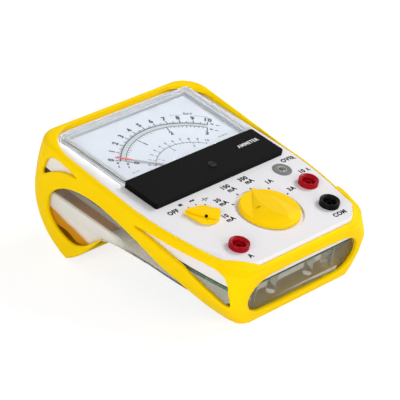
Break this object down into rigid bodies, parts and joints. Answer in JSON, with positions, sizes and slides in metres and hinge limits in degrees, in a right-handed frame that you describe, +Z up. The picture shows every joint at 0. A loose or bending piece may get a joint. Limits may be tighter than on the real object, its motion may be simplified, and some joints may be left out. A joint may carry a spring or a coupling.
{
  "type": "ammeter",
  "caption": "Analogue multi-range ammeter: moving-coil dial, range and function knobs and shrouded 4 mm sockets, with a clear lower case in a tilting elastic bumper boot.",
  "frame": {"origin": "on the bench under the middle of the whole instrument", "axes": "+X to the user's right, +Y away from the user, +Z up; the panel slopes up towards the back"},
  "size_m": [0.15, 0.1878, 0.0896],
  "materials": {
    "boot_yellow": "satin",
    "panel_white": "satin",
    "case_clear": "gloss",
    "gasket_dark": "matt",
    "steel": "satin",
    "housing_grey": "satin",
    "lens_clear": "gloss",
    "cover_black": "satin",
    "scale_white": "satin",
    "iron": "satin",
    "brass": "satin",
    "ruby": "gloss",
    "copper": "satin",
    "pointer_red": "satin",
    "knob_yellow": "satin",
    "screw_black": "satin",
    "phenolic": "satin",
    "switch_dark": "satin",
    "socket_red": "satin",
    "socket_black": "satin",
    "lamp_grey": "satin",
    "lamp_clear": "gloss",
    "led_red": "gloss",
    "board_green": "satin",
    "fuse_glass": "gloss",
    "battery_case": "satin",
    "cradle_white": "satin"
  },
  "bodies": {
    "case": {"bumper_boot": "boot_yellow", "top_shell": "panel_white", "bottom_shell": "case_clear", "shell_gasket": "gasket_dark", "case_screws": "steel", "meter_housing": "housing_grey", "meter_lens": "lens_clear", "dial_cover": "cover_black", "scale_plate": "scale_white", "scale_screws": "steel", "movement_yoke": "iron", "core_magnet": "iron", "upper_bridge": "brass", "lower_bridge": "brass", "upper_jewel": "ruby", "lower_jewel": "ruby", "range_switch": "switch_dark", "range_nut": "steel", "function_switch": "switch_dark", "function_nut": "steel", "socket_a": "socket_red", "socket_10a": "socket_red", "socket_com": "socket_black", "socket_contacts": "brass", "socket_nuts": "steel", "lamp_bezel": "lamp_grey", "lamp_lens": "lamp_clear", "lamp_led": "led_red", "circuit_board": "board_green", "board_screws": "steel", "fuse": "fuse_glass", "fuse_clips": "brass", "shunt_bar": "copper", "battery": "battery_case", "battery_cradle": "cradle_white", "battery_snap": "switch_dark"},
    "range_control": {"range_knob": "knob_yellow", "range_set_screw": "screw_black", "range_shaft": "steel", "range_wiper": "phenolic"},
    "function_control": {"function_knob": "knob_yellow", "function_set_screw": "screw_black", "function_shaft": "steel", "function_wiper": "phenolic"},
    "movement": {"coil_staff": "steel", "moving_coil": "copper", "pointer": "pointer_red", "balance_weights": "brass"},
    "zero_adjuster": {"zero_screw": "cover_black"},
    "zero_lever": {"zero_arm": "steel", "hairspring": "copper"}
  },
  "joints": [
    {"name": "range_turn", "type": "hinge", "parent": "case", "child": "range_control", "pos_m": [0.0044, -0.05571, 0.05248], "axis": [0, 0.2385, -0.9711], "range_deg": [-90, 60]},
    {"name": "function_turn", "type": "hinge", "parent": "case", "child": "function_control", "pos_m": [-0.0388, -0.039, 0.05658], "axis": [0, 0.2385, -0.9711], "range_deg": [0, 90]},
    {"name": "pointer_swing", "type": "hinge", "parent": "case", "child": "movement", "pos_m": [0, -0.00365, 0.06527], "axis": [0, 0.2385, -0.9711], "range_deg": [-3, 93], "stiffness_Nm_per_rad": 0.002},
    {"name": "zero_turn", "type": "hinge", "parent": "case", "child": "zero_adjuster", "pos_m": [0.0045, -0.00365, 0.06527], "axis": [0, 0.2385, -0.9711], "range_deg": [-45, 45]},
    {"name": "zero_shift", "type": "hinge", "parent": "case", "child": "zero_lever", "pos_m": [0, -0.00365, 0.06527], "axis": [0, 0.2385, -0.9711], "range_deg": [-8, 8]}
  ],
  "couplings": [
    {"joint": "zero_shift", "follows": "zero_turn", "ratio": 0.17185}
  ]
}
